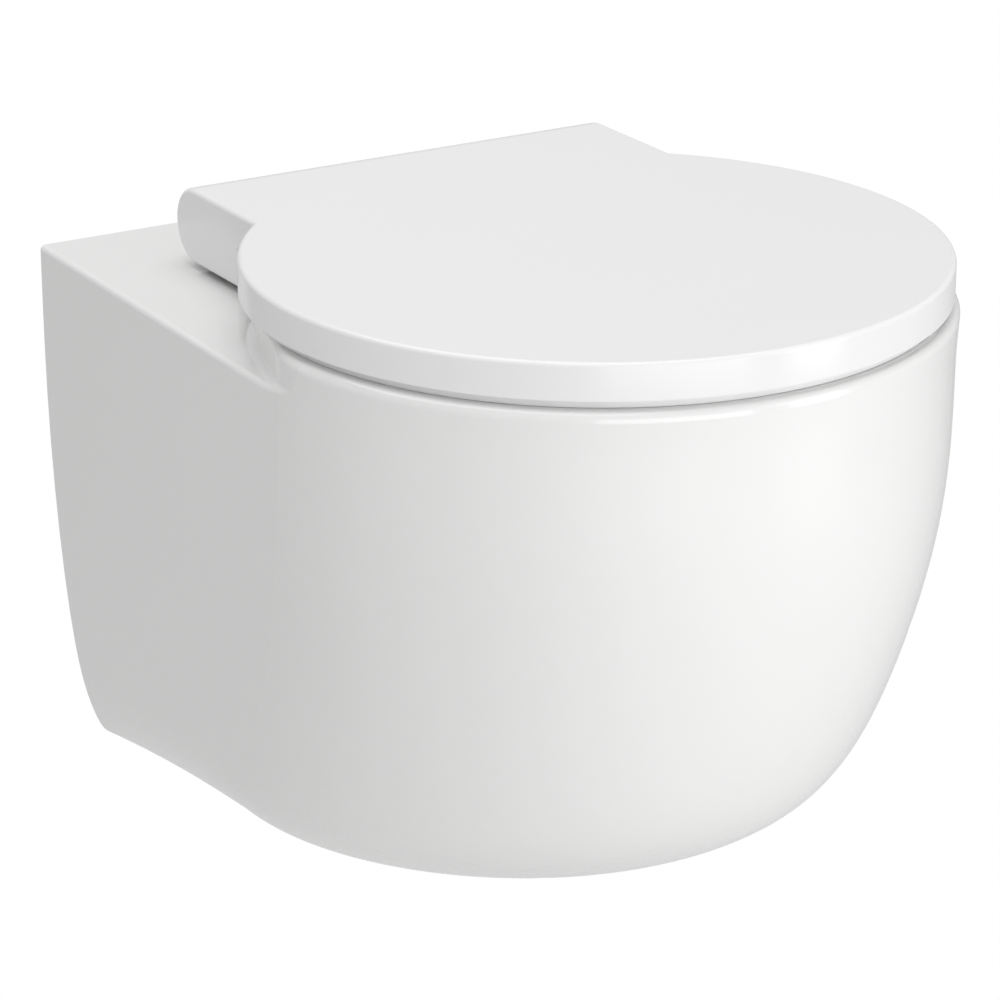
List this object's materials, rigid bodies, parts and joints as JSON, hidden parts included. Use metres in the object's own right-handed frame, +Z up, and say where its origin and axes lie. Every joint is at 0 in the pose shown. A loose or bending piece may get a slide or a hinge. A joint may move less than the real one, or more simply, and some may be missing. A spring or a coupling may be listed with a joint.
{
  "type": "wall_hung_toilet",
  "caption": "Wall hung toilet: skirted white ceramic pan with a flat rear deck and raised round rim, closed by a thin round soft-close lid over the seat",
  "frame": {"origin": "on the wall face, midway between the two wall studs", "axes": "+Z up, +Y into the wall, front towards -Y, +X to the right"},
  "size_m": [0.3786, 0.4796, 0.3505],
  "materials": {
    "ceramic": "glazed gloss",
    "lid_plastic": "gloss",
    "seat_plastic": "gloss",
    "hinge_metal": "polished",
    "steel": "brushed",
    "button_plastic": "satin",
    "damper_plastic": "satin",
    "bush_plastic": "satin",
    "rubber": "matte",
    "clear_rubber": "matte",
    "nut_plastic": "satin",
    "anchor_brass": "machined"
  },
  "bodies": {
    "fixed": {"pan": "ceramic", "flush_distributor": "bush_plastic", "hinge_post_left": "hinge_metal", "hinge_post_right": "hinge_metal", "hinge_shaft_left": "steel", "hinge_shaft_right": "steel", "post_gasket_left": "rubber", "post_gasket_right": "rubber", "hinge_bolt_left": "steel", "hinge_bolt_right": "steel", "expansion_bung_left": "rubber", "expansion_bung_right": "rubber", "cone_nut_left": "nut_plastic", "cone_nut_right": "nut_plastic", "wall_anchor_left": "anchor_brass", "wall_anchor_right": "anchor_brass", "grub_screw_left": "steel", "grub_screw_right": "steel"},
    "seat": {"seat_ring": "seat_plastic", "seat_buffers": "rubber", "seat_damper": "damper_plastic", "seat_bush": "bush_plastic"},
    "lid": {"lid": "lid_plastic", "lid_buffers": "clear_rubber", "lid_damper": "damper_plastic", "lid_bush": "bush_plastic"},
    "button_left": {"release_button_left": "button_plastic"},
    "button_right": {"release_button_right": "button_plastic"}
  },
  "joints": [
    {"name": "seat_hinge", "type": "hinge", "parent": "fixed", "child": "seat", "pos_m": [0, -0.0855, 0.1013], "axis": [-1, 0, 0], "range_deg": [0, 90]},
    {"name": "lid_hinge", "type": "hinge", "parent": "seat", "child": "lid", "pos_m": [0, -0.0855, 0.1013], "axis": [-1, 0, 0], "range_deg": [0, 91]},
    {"name": "button_left_press", "type": "slide", "parent": "fixed", "child": "button_left", "axis": [0, 1, 0], "range_m": [0, 0.002], "stiffness_N_per_m": 500},
    {"name": "button_right_press", "type": "slide", "parent": "fixed", "child": "button_right", "axis": [0, 1, 0], "range_m": [0, 0.002], "stiffness_N_per_m": 500}
  ]
}
